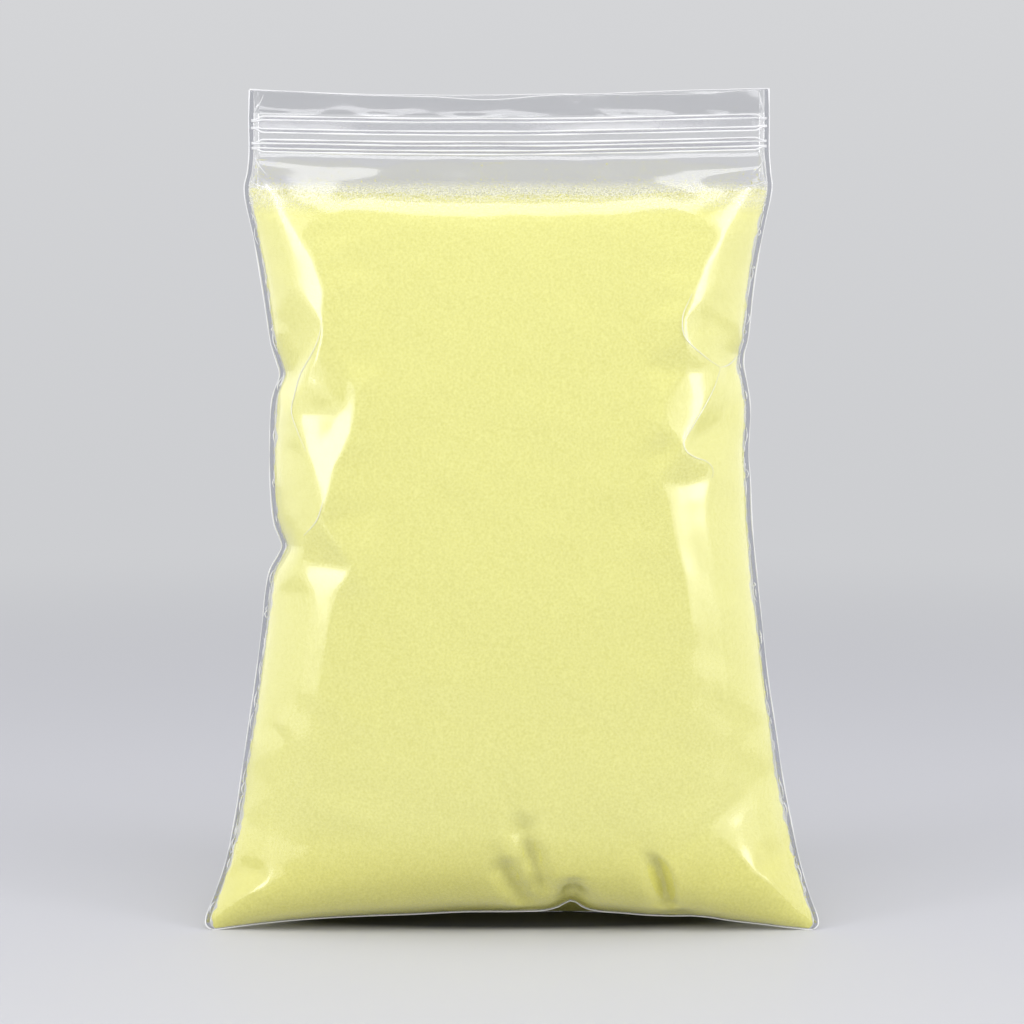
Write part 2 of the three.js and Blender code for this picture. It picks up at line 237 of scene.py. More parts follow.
# ridges and valleys of the front panel, as [across, height, how far out of the smooth bulge] along each one
frontFolds = {
    "leftBandOuter": [
        [-72.5, 207.4, 0.2], [-68.2, 202.3, 0.9], [-64.8, 195.8, 1.6], [-62, 188.2, 2.3],
        [-61.1, 181.1, 2.9]],
    "leftBandInner": [
        [-72.5, 207.4, 0.2], [-65.4, 202.3, 1.3], [-59.4, 194.9, 2.2], [-54.6, 187.3, 3], [-51.5, 179.7, 3.7],
        [-52.4, 171.3, 4.2]],
    "leftBandFoot": [[-51.5, 179.7, 3.7], [-61.1, 181.1, 2.9], [-52.4, 171.3, 4.2]],
    "leftUpperValley": [[-66.6, 168, 0.5], [-61, 168.5, 1.5], [-52.4, 171.3, 4.2]],
    "leftUpperEdge": [
        [-52.4, 171.3, 4.2], [-52.9, 167.2, 4.3], [-54.8, 161.5, 4.3], [-57.6, 155.6, 4.1],
        [-59.8, 151.2, 3.8], [-61.4, 146.2, 3.3]],
    "leftUpperPinch": [[-54.6, 166, 3.1], [-59.5, 157.8, 1], [-64, 151.6, 0]],
    "leftUpperFront": [[-52.4, 171.3, 4.2], [-47.5, 163, 3.1], [-45.5, 157, 3], [-42.3, 153.9, 3.2]],
    "leftMiddleStep": [
        [-61.4, 146.2, 3.3], [-55, 145.4, 2.9], [-49, 142.8, 2.8], [-46, 148, 2.9], [-42.3, 153.9, 3.2]],
    "leftMiddleRidge": [
        [-61.4, 146.2, 3.3], [-59.7, 140.3, 3.4], [-56.3, 132.4, 3.7], [-54.1, 123.9, 4.2],
        [-52.4, 119.2, 4.6]],
    "leftMiddleInner": [
        [-42.3, 153.9, 3.2], [-42.5, 145.9, 3.3], [-44.2, 138.6, 3.5], [-48.2, 132, 3.9],
        [-50.4, 124.5, 4.35], [-52.4, 119.2, 4.6]],
    "leftMiddleSpur": [[-66.4, 127, 0.3], [-62, 125.4, 1.8], [-57.8, 122, 3.2], [-52.4, 119.2, 4.6]],
    "leftLowerEdge": [[-52.4, 119.2, 4.6], [-53.2, 115.8, 4.3], [-57, 109.5, 3.2], [-60.3, 103.6, 2.4]],
    "leftLowerHollow": [[-65.2, 121, 0.5], [-60.2, 115, 2.2], [-60.6, 109.5, 2.3], [-64.4, 105.6, 0.8]],
    "leftLowerStep": [
        [-60.3, 103.6, 2.4], [-56, 104.1, 2.05], [-52, 104.3, 1.95], [-48, 104.1, 2.25],
        [-43.7, 103.7, 2.85]],
    "leftLowerFoot": [[-60.3, 103.6, 2.4], [-55.2, 95.8, 2.25], [-49, 95.8, 2.55], [-43.7, 103.7, 2.85]],
    "leftLowerBand": [
        [-55.2, 95.8, 2.25], [-56.3, 87.3, 2.35], [-57.5, 78.9, 2.35], [-59.7, 67.6, 2.25], [-62, 54, 1.9],
        [-64, 40, 1.3], [-66, 26, 0.3]],
    "leftLowerFront": [
        [-49, 95.8, 2.55], [-51.4, 87.3, 2.7], [-53, 78.9, 2.7], [-55, 67.6, 2.5], [-57, 54, 2.05],
        [-59, 40, 1.4], [-61, 26, 0.3]],
    "leftKnee": [[-66, 60, 1], [-63, 58.6, 2.1], [-59.4, 61.6, 2]],
    "leftKneeFoot": [[-66, 57, 0.9], [-62.4, 55, 1.8]],
    "rightBandInner": [
        [70.6, 207.4, 0.2], [64.2, 203.4, 1.3], [58.6, 195.2, 2.9], [53, 185.9, 3.7], [49.6, 178.9, 4.3],
        [46.8, 171.8, 4.6]],
    "rightBandOuter": [
        [70.6, 207.4, 0.2], [66.4, 202.8, 1], [62.7, 195.8, 2.1], [58.2, 188.7, 3], [56.9, 182.3, 3.4],
        [53, 177.5, 4.1], [46.8, 171.8, 4.6]],
    "rightUpperValley": [[65.2, 171, 0.8], [57, 169, 2.1], [46.8, 171.8, 4.6]],
    "rightUpperEdge": [
        [46.8, 171.8, 4.6], [47.3, 167.4, 4.5], [50, 163.7, 4.1], [53.6, 160.5, 3.5], [57.4, 158.2, 2.8]],
    "rightPinch": [
        [63, 162, 0.2], [59.8, 159.6, 1], [57.4, 158.2, 2.8], [60, 154.8, 1], [63.4, 150.8, 0.2]],
    "rightMiddleEdge": [
        [57.4, 158.2, 2.8], [56.3, 153.5, 2.9], [53.8, 147.9, 3], [50.1, 142.3, 3.3], [47, 137.4, 3.8]],
    "rightMiddleInner": [
        [57.4, 158.2, 2.8], [48, 157.5, 3.2], [41.5, 151, 3], [41, 143, 3.4], [47, 137.4, 3.8]],
    "rightMiddleValley": [[64.6, 146, 0.3], [58, 143, 0.8], [52.4, 139.4, 2.2], [47, 137.4, 3.8]],
    "rightSCurve": [
        [47, 137.4, 3.8], [47.9, 135.2, 3.6], [50.7, 133.3, 3.1], [53.5, 132.3, 2.6], [55.6, 130, 2.1]],
    "rightLowerStep": [
        [55.6, 130, 2.1], [52.1, 127.7, 1.8], [47.9, 126.4, 1.9], [43.1, 126.4, 2.1], [40, 127.6, 2.3]],
    "rightLowerInner": [
        [40, 127.6, 2.3], [42.3, 123.1, 2.4], [43.9, 115.5, 2.4], [46.2, 107, 2.3], [48.5, 98.6, 2.1],
        [50.1, 90.1, 1.9], [52.1, 80.3, 1.6], [54, 66, 1.2], [55.6, 52, 0.5]],
    "rightLowerOuter": [
        [55.6, 130, 2.1], [54.4, 122.5, 2.1], [54.6, 115.5, 2.1], [55.8, 104.2, 2], [56.6, 95.8, 1.8],
        [58.4, 82, 1.5], [60.4, 66, 1.1], [62, 52, 0.4]],
    "rightLowerMiddle": [
        [48.2, 122.8, 2.15], [49.2, 115.5, 2.05], [51, 105.6, 1.9], [52.6, 97, 1.7], [54.2, 86, 1.5],
        [56.2, 73, 1.2], [58, 60, 0.7]],
    "rightKnee": [[62.6, 90.3, 1], [60.2, 91.4, 1.5], [57.4, 90, 1.7]],
    "rightLowerFoot": [[57.6, 38.6, 0.2], [61.6, 36.6, -0.2], [65.6, 33, 0.2]],
}

# creases at the foot of the front panel, in the same way
footFolds = {
    "centreValleyUpper": [
        [0.8, 38, -0.3], [3.2, 31, -2.6], [5.6, 24, -5.4], [8.4, 15, -5.4], [9.4, 9, -1.4]],
    "centreFlank": [[6.2, 35, 0.3], [8.8, 25.4, 0.9], [11, 18, 0.8]],
    "centreValleyLower": [
        [-3.8, 24, -0.6], [-1.2, 19.4, -5], [1.4, 14.2, -6], [4, 9.8, -4.6], [6.5, 7.2, -1.4]],
    "centreRidge": [[-1.5, 30, 0.6], [1.6, 23.4, 1.3], [4.9, 16.2, 1], [7, 11, -0.2]],
    "centreLowFlank": [[-6.4, 20, 0.3], [-3.4, 13.6, 0.6], [0, 8.6, 0.3]],
    "peakLeft": [[11.8, 8.8, -0.9], [13.8, 12, -2.6], [16.4, 16.2, -2]],
    "peakRidge": [
        [16.8, 9.1, -0.7], [17, 10.8, -2.4], [17, 12.8, -2.9], [17.1, 15, -2.8], [17.1, 16.8, -2.2],
        [17.2, 18.2, 0]],
    "peakRight": [[22, 8.8, -0.9], [20.3, 12, -2.6], [17.9, 16.2, -2]],
    "peakShoulderLeft": [[9.9, 8.4, 0.3], [11.8, 13, 0.4], [14.6, 17.4, 0.3], [17.2, 20.2, 0.2]],
    "peakShoulderRight": [[24, 8.4, 0.3], [22.2, 13, 0.4], [19.6, 17.4, 0.3], [17.2, 20.2, 0.2]],
    "rightValley": [
        [37.2, 26.4, -0.3], [40.4, 20.4, -5], [42.4, 14, -5.6], [43.6, 9.4, -4.4], [44.2, 6.4, -1.4]],
    "rightValleyLeft": [[36, 21, 0.4], [38.2, 14, 0.6], [39.8, 8, 0.3]],
    "rightValleyRight": [[44, 20.4, 0.4], [46.6, 13, 0.6], [47.4, 7.6, 0.3]],
    "rightHump": [[54, 5.4, 0.6], [54.6, 9, 0.4]],
    "leftCornerRidge": [
        [-84.4, 2.2, 0.2], [-80, 6.5, 0.9], [-76.6, 9.6, 1.2], [-71, 13.2, 1.1], [-67.8, 15.2, 0.6]],
    "leftCornerHollow": [[-80.4, 14.4, -0.5], [-76, 17, -1], [-71.4, 16.8, -0.6], [-67.8, 15.2, 0.6]],
    "leftCornerBulge": [[-77.6, 21.5, 0], [-73, 21.8, 0.1], [-69, 20.4, 0.2], [-67.8, 15.2, 0.6]],
    "rightCornerRidge": [
        [83.9, 2.2, 0.2], [79.7, 6.2, 0.9], [75.5, 11.3, 1.3], [72.7, 15.1, 1.4], [67.8, 18.2, 1.2]],
    "rightCornerHollow": [[67.8, 18.2, 1.2], [72.5, 20.2, -0.4], [77.7, 21.6, -0.7]],
    "rightCornerFacet": [[67.8, 18.2, 1.2], [63.8, 23.4, 0.6], [69.2, 25.6, 0.1], [67.8, 18.2, 1.2]],
}


def facetField(folds, x, z, anchors):
    # straight facets between the fold lines, level with the smooth panel at the anchors
    points = np.array([p for line in folds.values() for p in line], float)
    edges, start = [], 0
    for line in folds.values():
        edges += [(start + k, start + k + 1) for k in range(len(line) - 1)]
        start += len(line)
    lift = np.r_[points[:, 2], np.zeros(len(anchors))]
    corners = [Vector(p) for p in np.vstack([points[:, :2], anchors])]
    made, _, triangles, origins, _, _ = delaunay_2d_cdt(corners, edges, [], 0, 1e-4)
    made = np.array([list(p) for p in made])
    value = np.array([lift[list(o)].mean() if len(o) else np.nan for o in origins])
    for k in np.flatnonzero(np.isnan(value)):  # where two fold lines cross
        near = np.argsort(np.linalg.norm(made - made[k], axis=1))
        value[k] = next(value[n] for n in near if not np.isnan(value[n]))
    flatX, flatZ, field = x.ravel(), z.ravel(), np.zeros(x.size)
    for a, b, c in triangles:
        corner = made[[a, b, c]]
        low, high = corner.min(0) - 1e-6, corner.max(0) + 1e-6
        near = np.flatnonzero((flatX >= low[0]) & (flatX <= high[0])
                              & (flatZ >= low[1]) & (flatZ <= high[1]))
        (ax, az), (bx, bz), (cx, cz) = corner
        area = (bx - ax) * (cz - az) - (bz - az) * (cx - ax)
        if not len(near) or abs(area) < 1e-9:
            continue
        px, pz = flatX[near] - ax, flatZ[near] - az
        wb = (px * (cz - az) - pz * (cx - ax)) / area
        wc = ((bx - ax) * pz - (bz - az) * px) / area
        inside = (wb > -1e-6) & (wc > -1e-6) & (wb + wc < 1 + 1e-6)
        field[near[inside]] = ((1 - wb - wc) * value[a] + wb * value[b] + wc * value[c])[inside]
    return field.reshape(x.shape)


# where the front panel keeps its smooth shape, as [across, height]
foldAnchors = {
    "middle": 34,  # how far out from the middle the side folds reach
    "foot": [
        [-8, 14], [-8, 28], [-3, 40], [8, 42], [14, 32], [14, 24], [27, 20], [30, 12], [30, 6], [36, 30],
        [50, 22], [51, 12], [51, 6], [60, 12], [60, 5], [27, 32], [-12, 6], [-60, 16], [-60, 28], [-62, 8],
        [-66, 34], [-74, 28], [-80, 16], [-84, 8], [-70, 4], [60, 20], [58, 28], [64, 34], [74, 28], [80, 14],
        [83, 8], [66, 8], [100, -30], [-100, -30], [-100, 90], [100, 90]],
}


def frontLift(x, z):
    # how far the side folds and the foot creases move the front panel
    sides = [[s * (at(h) - bagShape["sealWidth"] + 0.3), h]
             for h in np.arange(4, bagShape["lipTop"], 7.0) for s, at in ((-1, leftAt), (1, rightAt))]
    middle = [[s * foldAnchors["middle"], h] for h in np.arange(-10, 251, 13.0) for s in (-1, 1)]
    corners = [[s * 100, h] for s in (-1, 1) for h in (-20, 260)]
    folded = facetField(frontFolds, x, z, np.array(sides + middle + corners, float))
    around = [[c, h] for c in np.arange(-30, 81, 8.0) for h in (-6, 48)] + foldAnchors["foot"]
    foot = facetField(footFolds, x, z, np.array(around, float))
    return folded, foot


panelGrid = {
    "footTop": 10, "footRows": 30, "rows": 214, "zipRows": 40,
    "middleColumns": 27, "sideColumns": 50,  # on each half
}
footRows = np.linspace(0, panelGrid["footTop"], panelGrid["footRows"])[:-1]
bodyRows = np.linspace(panelGrid["footTop"], bagShape["zipBottom"], panelGrid["rows"])[:-1]
zipRows = np.linspace(bagShape["zipBottom"], bagShape["lipTop"], panelGrid["zipRows"])
edgeRows = np.r_[footRows, bodyRows, zipRows][:, None]
halfColumns = np.r_[np.linspace(0, 0.5, panelGrid["middleColumns"])[:-1],
                    np.linspace(0.5, 0.97, panelGrid["sideColumns"])[:-1], 0.97, 0.98, 0.988, 0.994]
filmColumns = np.r_[halfColumns, 1, 1.25, 1.5, 1.75, 1.92, 2]
filmColumns = np.r_[-filmColumns[:0:-1], filmColumns]


panelFinish = {
    "foldSoftness": 0.9,  # in grid cells
    "innerEase": (40, 33), "innerSoftness": 5,  # where the folds run out, and how softly
    "backFolds": 0.45, "backSoftness": 1.6,  # beside the front's
    "backBuckle": 0.7, "buckleLength": 55,
    "unevenness": 0.05, "unevenLength": 16,
    "looseTop": 0.42, "looseLength": 15,
    "seeds": {"front": (7, 12), "back": (8, 13), "buckle": 41},
}


def panelSurface(side, edge, q, softness=panelFinish["foldSoftness"]):
    # points of one sheet at the given heights along the weld and distances across
    x, z, depth = panelBase(side, edge, q)
    q = np.broadcast_to(q, x.shape)
    inside = 1 - np.minimum(np.abs(q), 1)
    inner = smoothStep(0, 0.03, inside)
    folded, foot = frontLift(x, z)
    if side == "front":
        if softness:
            # the folds run out softly towards the middle, and stay crisp near the sides
            ease = smoothStep(*panelFinish["innerEase"], np.abs(x))
            folded = folded + (blur(folded, panelFinish["innerSoftness"]) - folded) * ease
            folded, foot = blur(folded, softness), blur(foot, softness)
        depth = depth + (folded + foot) * inner
    else:
        # the back is pinched at the same places, but less folded
        folded = blur(folded, panelFinish["backSoftness"] * softness)
        depth = depth + panelFinish["backFolds"] * folded * inner
        buckle = ripples(x, z, panelFinish["seeds"]["buckle"], panelFinish["buckleLength"], stretch=1.6)
        buckle = buckle * smoothStep(20, 60, z) * smoothStep(214, 190, z)
        depth = depth + panelFinish["backBuckle"] * buckle * inner * smoothStep(1.05, 0.6, np.abs(q))
    unevenSeed, looseSeed = panelFinish["seeds"][side]
    shade = ripples(x, z, unevenSeed, panelFinish["unevenLength"]) * smoothStep(0, 0.1, inside)
    depth = depth + panelFinish["unevenness"] * shade * smoothStep(10, 30, edge)
    # the empty top is loose above and below the zip, and held flat by it
    held = smoothStep(214, 218, edge) * smoothStep(231, 229, edge)
    loose = smoothStep(208, 214, edge) * smoothStep(0, 0.05, 2 - np.abs(q)) * (1 - 0.9 * held)
    waves = ripples(x, z, looseSeed, panelFinish["looseLength"], stretch=0.8)
    depth = depth + panelFinish["looseTop"] * loose * waves
    weldDepth = bagShape["weldDepth"]
    depth = np.where(np.abs(q) >= 1, weldDepth, np.maximum(depth, weldDepth))
    towards = -1 if side == "front" else 1
    return np.stack([x, planeAt(edge) + towards * depth, np.maximum(z, 0.02)], -1)


# materials

def newMaterial(name):
    material = bpy.data.materials.new(name)
    material.use_nodes = True
    nodes, links = material.node_tree.nodes, material.node_tree.links
    nodes.clear()
    return material, nodes, links, nodes.new("ShaderNodeOutputMaterial")


filmLook = {
    # gloss is the reflecting share seen square on, clear is what the rest lets through
    "clearFilm": {"gloss": 0.05, "roughness": 0.15, "clear": (0.985, 0.985, 0.987)},
    "weldStrip": {"gloss": 0.05, "roughness": 0.2, "clear": (0.9, 0.903, 0.915)},
    # white finish of the cut edges and beads, also used to paint highlight lines on the zip rails and the
    # sharpest folds
    "cutEdgeAndHighlights": {"gloss": 0.12, "roughness": 0.3, "clear": (0.97, 0.97, 0.975), "milk": 0.8},
    "zipRail": {"gloss": 0.05, "roughness": 0.15, "clear": (0.95, 0.95, 0.96), "milk": 0.03},
    "zipWeb": {"gloss": 0.04, "roughness": 0.14, "clear": (0.975, 0.975, 0.98), "milk": 0.01, "reflectionStreaks": 0.6},
    "lipFilm": {"gloss": 0.05, "roughness": 0.15, "clear": (0.938, 0.939, 0.945)},
}
# the film is dusty just above and below the top of the fill: low, most and high are heights in metres
filmDust = {
    "most": 0.2066, "high": 0.211, "scale": 2400,
    "dustyFilm": {"low": 0.2005, "amount": 0.55, "colour": (0.93, 0.92, 0.76)},
    "dustyBack": {"low": 0.2035, "amount": 0.5, "colour": (0.93, 0.92, 0.6)},
}
for name in ("dustyFilm", "dustyBack"):
    filmLook[name] = {**filmLook["clearFilm"], "dust": filmDust[name]}

# what every clear part has in common
plasticLook = {
    "rimPower": 3.4, "rimGloss": 0.8,  # how fast the gloss grows at glancing angles, and how far
    "milkAndHighlightWhite": (0.95, 0.95, 0.96),
    "streakStretch": (20, 30, 90), "streakRange": (0.5, 0.66),
    "speckRange": (0.36, 0.66), "leastSpeck": 0.04,
}


def ranged(nodes, links, value, span, result=(0, 1), kind="SMOOTHSTEP"):
    # one value turned into another between two limits
    change = nodes.new("ShaderNodeMapRange")
    change.interpolation_type = kind
    for socket, setting in zip(("From Min", "From Max", "To Min", "To Max"), (*span, *result)):
        change.inputs[socket].default_value = setting
    links.new(value, change.inputs["Value"])
    return change.outputs["Result"]


def mixed(nodes, links, share, one, other):
    # two shaders mixed; share is a number or another node's output
    mix = nodes.new("ShaderNodeMixShader")
    if isinstance(share, (int, float)):
        mix.inputs["Fac"].default_value = share
    else:
        links.new(share, mix.inputs["Fac"])
    links.new(one.outputs[0], mix.inputs[1])
    links.new(other.outputs[0], mix.inputs[2])
    return mix


def noise(nodes, links, vector, scale, detail):
    texture = nodes.new("ShaderNodeTexNoise")
    texture.inputs["Scale"].default_value = scale
    texture.inputs["Detail"].default_value = detail
    links.new(vector, texture.inputs["Vector"])
    return texture.outputs["Fac"]


def timesOf(nodes, links, one, other):
    times = nodes.new("ShaderNodeMath")
    times.operation = "MULTIPLY"
    links.new(one, times.inputs[0])
    links.new(other, times.inputs[1])
    return times.outputs[0]


def dusted(nodes, links, body, dust):
    # a band of specks of powder on the film, thickest at one height
    where, split = nodes.new("ShaderNodeTexCoord"), nodes.new("ShaderNodeSeparateXYZ")
    links.new(where.outputs["Object"], split.inputs[0])
    rising = ranged(nodes, links, split.outputs["Z"], (dust["low"], filmDust["most"]))
    falling = ranged(nodes, links, split.outputs["Z"], (filmDust["most"], filmDust["high"]), (1, 0))
    specks = noise(nodes, links, where.outputs["Object"], filmDust["scale"], 4)
    amounts = (plasticLook["leastSpeck"], dust["amount"])
    grain = ranged(nodes, links, specks, plasticLook["speckRange"], amounts)
    share = timesOf(nodes, links, timesOf(nodes, links, rising, falling), grain)
    powder = nodes.new("ShaderNodeBsdfDiffuse")
    powder.inputs["Color"].default_value = (*dust["colour"], 1)
    return mixed(nodes, links, share, body, powder)


def clearMaterial(name, look):
    # thin clear plastic: a mirror-like share that grows at glancing angles, the rest passes straight through
    material, nodes, links, output = newMaterial(name)
    facing, power = nodes.new("ShaderNodeLayerWeight"), nodes.new("ShaderNodeMath")
    facing.inputs["Blend"].default_value = 0.5
    power.operation = "POWER"
    power.inputs[1].default_value = plasticLook["rimPower"]
    links.new(facing.outputs["Facing"], power.inputs[0])
    share = ranged(nodes, links, power.outputs[0], (0, 1), (look["gloss"], plasticLook["rimGloss"]), "LINEAR")
    body = nodes.new("ShaderNodeBsdfTransparent")
    body.inputs["Color"].default_value = (*look["clear"], 1)
    gloss = nodes.new("ShaderNodeBsdfAnisotropic")
    gloss.inputs["Color"].default_value = (1, 1, 1, 1)
    gloss.inputs["Roughness"].default_value = look["roughness"]
    if look.get("milk"):
        milk = nodes.new("ShaderNodeBsdfDiffuse")
        milk.inputs["Color"].default_value = (*plasticLook["milkAndHighlightWhite"], 1)
        milkAndReflectionShare = look["milk"]
        if look.get("reflectionStreaks"):  # painted reflection: long milky stretches that stand in for the light reflected between the rails
            where, stretch = nodes.new("ShaderNodeTexCoord"), nodes.new("ShaderNodeMapping")
            stretch.inputs["Scale"].default_value = plasticLook["streakStretch"]
            links.new(where.outputs["Object"], stretch.inputs["Vector"])
            reflectionPatches = noise(nodes, links, stretch.outputs["Vector"], 1, 3)
            milkAndReflectionShare = ranged(nodes, links, reflectionPatches, plasticLook["streakRange"],
                            (look["milk"], look["reflectionStreaks"]), "LINEAR")
        body = mixed(nodes, links, milkAndReflectionShare, body, milk)
    if look.get("dust"):
        body = dusted(nodes, links, body, look["dust"])
    mix = mixed(nodes, links, share, body, gloss)
    links.new(mix.outputs[0], output.inputs["Surface"])
    return material


powderLook = {
    "dark": (0.797, 0.774, 0.243), "light": (0.897, 0.878, 0.328),
    # painted shade at the foot, where the bag curves under: what the colour is multiplied by, and heights in
    # metres
    "foot": (0.935, 0.92, 0.7), "footShadeHeight": (0.015, 0.036),
    "roughness": 0.95, "specular": 0.1,
    "grainScale": 1500, "grainBump": 0.3, "grainDepth": 0.0003, "grainRange": (0.3, 0.7),
}


def powderMaterial():
    material, nodes, links, output = newMaterial("groundSulfur")
    shader, where = nodes.new("ShaderNodeBsdfPrincipled"), nodes.new("ShaderNodeTexCoord")
    shader.inputs["Roughness"].default_value = powderLook["roughness"]
    shader.inputs["Specular IOR Level"].default_value = powderLook["specular"]
    grain = noise(nodes, links, where.outputs["Object"], powderLook["grainScale"], 3)
    ramp = nodes.new("ShaderNodeValToRGB")
    for element, place, tone in zip(ramp.color_ramp.elements, powderLook["grainRange"], ("dark", "light")):
        element.position = place
        element.color = (*powderLook[tone], 1)
    links.new(grain, ramp.inputs["Fac"])
    # painted shade: the powder colour is multiplied darker and yellower towards the foot
    split, footShade = nodes.new("ShaderNodeSeparateXYZ"), nodes.new("ShaderNodeMixRGB")
    links.new(where.outputs["Object"], split.inputs[0])
    footShade.blend_type = "MULTIPLY"
    footShade.inputs["Color2"].default_value = (*powderLook["foot"], 1)
    foot = ranged(nodes, links, split.outputs["Z"], powderLook["footShadeHeight"], (1, 0))
    links.new(foot, footShade.inputs["Fac"])
    links.new(ramp.outputs["Color"], footShade.inputs["Color1"])
    links.new(footShade.outputs["Color"], shader.inputs["Base Color"])
    bump = nodes.new("ShaderNodeBump")
    bump.inputs["Strength"].default_value = powderLook["grainBump"]
    bump.inputs["Distance"].default_value = powderLook["grainDepth"]
    links.new(grain, bump.inputs["Height"])
    links.new(bump.outputs["Normal"], shader.inputs["Normal"])
    links.new(shader.outputs[0], output.inputs["Surface"])
    return material


films = {name: clearMaterial(name, look) for name, look in filmLook.items()}
groundSulfur = powderMaterial()


# the two sheets of film, with other finishes at the welds, around the top of the fill and at the lip

filmBands = {"lip": 229.5, "dustMiddle": 207, "dustReach": 8.5}  # heights in mm


def filmPanel(side):
    points = panelSurface(side, edgeRows, filmColumns[None, :])
    faces = gridFaces(*points.shape[:2], flip=side == "back")
    piece = meshPiece(side + "Film", points.reshape(-1, 3), faces, films["clearFilm"])
    for finish in ("weldStrip", "dustyFilm" if side == "front" else "dustyBack", "lipFilm"):
        piece.data.materials.append(films[finish])
    height = (edgeRows[1:] + edgeRows[:-1]) / 2
    dusty = np.abs(height - filmBands["dustMiddle"]) < filmBands["dustReach"]
    slot = np.where(height > filmBands["lip"], 3, np.where(dusty, 2, 0))
    slot = np.where(np.abs(filmColumns[1:] + filmColumns[:-1])[None, :] / 2 > 1, 1, slot)
    piece.data.polygons.foreach_set("material_index", slot.ravel().astype(np.int32))
    solid = piece.modifiers.new("thickness", "SOLIDIFY")
    solid.thickness = bagShape["filmThickness"] * mm
    solid.offset = -1
    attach(piece, "root")
    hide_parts(side + "_panel")
    return piece


for side in ("front", "back"):
    film = filmPanel(side)
    print(side, "film:", len(film.data.polygons), "quads")


# the powder fills the bag just inside the film

powderShape = {
    "inset": 0.35, "topInset": 0.45,  # clear of the film, and how much more at the top
    "foot": 0.35,  # the lowest point
    "raggedEdge": 0.012,  # how far the side edge wanders, as a share of the half width
    "edgeWaves": (3.2, 24),
    "raggedTop": 0.22, "topWaves": (5, 40),
    "thinnest": 0.1,
}


def powderPiece():
    rows = edgeRows[(edgeRows[:, 0] > 0.3) & (edgeRows[:, 0] < bagShape["fillTop"])]
    rows = np.r_[rows, [[bagShape["fillTop"]]]]
    height = rows[:, 0]
    limits = []
    for seed in (3, 4):
        fine, coarse = [ripples(height * 0, height, seed + step, wave)
                        for step, wave in zip((0, 20), powderShape["edgeWaves"])]
        wander = 0.6 * fine + 0.6 * coarse
        limits.append(0.999 - powderShape["raggedEdge"] * np.clip(0.5 + 0.45 * wander, 0, 1.5))
    q = halfColumns / halfColumns[-1]
    q = np.r_[-q[:0:-1], q]
    q = np.where(q[None, :] < 0, q[None, :] * limits[0][:, None], q[None, :] * limits[1][:, None])
    walls = []
    for side, towards in (("front", -1), ("back", 1)):
        wall = panelSurface(side, rows, q)
        inset = powderShape["inset"] + powderShape["topInset"] * smoothStep(198, 205, rows)
        wall[..., 1] -= towards * inset
        fine, coarse = powderShape["topWaves"]
        topWander = powderShape["raggedTop"] * (ripples(wall[..., 0], wall[..., 1], 9, fine)
                                                + ripples(wall[..., 0], wall[..., 0] * 0, 10, coarse))
        wall[..., 2] += topWander * smoothStep(200, bagShape["fillTop"], rows)
        wall[..., 2] = np.maximum(wall[..., 2], powderShape["foot"])
        walls.append(wall)
    # the two walls never cross, even in the thin wedge beside a weld
    front, back = walls
    crossed = back[..., 1] - front[..., 1] < powderShape["thinnest"]
    centre = (back[..., 1] + front[..., 1]) / 2
    front[..., 1] = np.where(crossed, centre - powderShape["thinnest"] / 2, front[..., 1])
    back[..., 1] = np.where(crossed, centre + powderShape["thinnest"] / 2, back[..., 1])
    count, columns = front.shape[:2]
    points, faces = closedRings(np.concatenate([front, back[:, ::-1]], 1))
    faces = faces[:-2]  # quads from wall to wall fill the ends instead
    for k, flip in ((0, True), (count - 1, False)):
        first = k * 2 * columns
        last = first + 2 * columns - 1
        for j in range(columns - 1):
            quad = [first + j, first + j + 1, last - 1 - j, last - j]
            faces.append(quad[::-1] if flip else quad)
    return meshPiece("sulfurPowder", points, faces, groundSulfur)


powder = powderPiece()
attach(powder, "root")
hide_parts("sulfur_powder")
print("powder:", len(powder.data.polygons), "quads")


# the press-to-close zip: each track has a strip on either sheet, with a rounded rail at its top and bottom

zipShape = {
    "tracks": {
        "upper": {"height": 226.3, "spread": 1.75, "milky": True},
        "lower": {"height": 220.35, "spread": 1.2, "milky": False},
    },
    "railRadius": 0.52, "webThickness": 0.34,
    "sag": 0.9, "rightRise": 0.55,  # how the tracks dip in the middle and rise to the right
    "filmDepth": 1.8,  # from the middle of the zip to the film over it
    "endGap": 1.6, "endCrush": 0.75,
    # the painted highlight lines on the rails: their radius, and how far they stand in front of the film
    "lineRadius": 0.25, "lineLift": 0.14,
    "stripWaver": 0.06, "lineWavers": (0.05, 0.02),
    "steps": 220,
}


def trackHeight(track, t):
    rise = zipShape["rightRise"] * smoothStep(-0.6, 1, t)
    return track["height"] - zipShape["sag"] * (1 - np.abs(t) ** 1.9) + rise


def trackSteps(track, inset):
    # steps from -1 to 1 along a track, and how far across the bag each one is
    t = np.linspace(-1, 1, zipShape["steps"])
    return t, np.where(t < 0, t * (leftAt(track["height"]) - inset), t * (rightAt(track["height"]) - inset))


